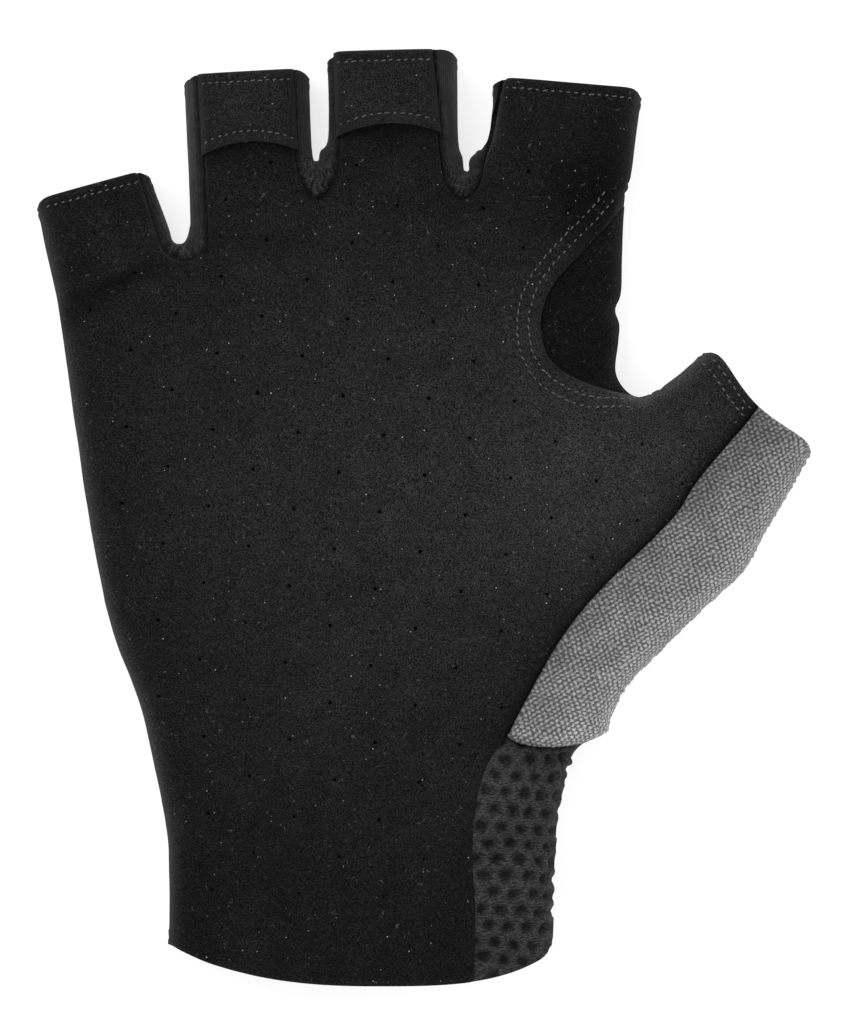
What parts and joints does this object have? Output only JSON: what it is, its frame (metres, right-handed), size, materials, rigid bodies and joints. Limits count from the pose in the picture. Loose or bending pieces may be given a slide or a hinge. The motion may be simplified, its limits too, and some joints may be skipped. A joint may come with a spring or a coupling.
{
  "type": "fingerless cycling glove",
  "caption": "Right-hand short-finger cycling glove lying palm up: suede palm, knitted back, woven thumb panel, stretch strips between the fingers and pull tabs.",
  "frame": {"origin": "on the surface that the glove lies on, under the middle of its bounding box", "axes": "+X to the thumb side, +Y from the cuff to the fingers, +Z out of the palm; the back of the glove lies on z = 0"},
  "size_m": [0.139, 0.168, 0.0214],
  "materials": {
    "palm_suede": "matt black synthetic suede with a short nap",
    "smooth_suede": "smooth matt black suede, darker than the palm",
    "tab_suede": "matt black synthetic suede, folded and stitched",
    "stretch_rib": "fine ribbed stretch knit with a faint sheen",
    "grey_knit": "coarse mid-grey knit with small raised stitches",
    "dimpled_knit": "black knit with deep dimples in staggered rows"
  },
  "bodies": {
    "root": {"palm_panel": "palm_suede", "back_panel": "dimpled_knit", "thumb_panel": "grey_knit", "thumb_gusset": "smooth_suede", "stretch_strip_little_ring": "stretch_rib", "stretch_strip_ring_middle": "stretch_rib", "stretch_strip_middle_index": "stretch_rib", "pull_tab_ring": "tab_suede", "pull_tab_middle": "tab_suede"}
  },
  "joints": []
}
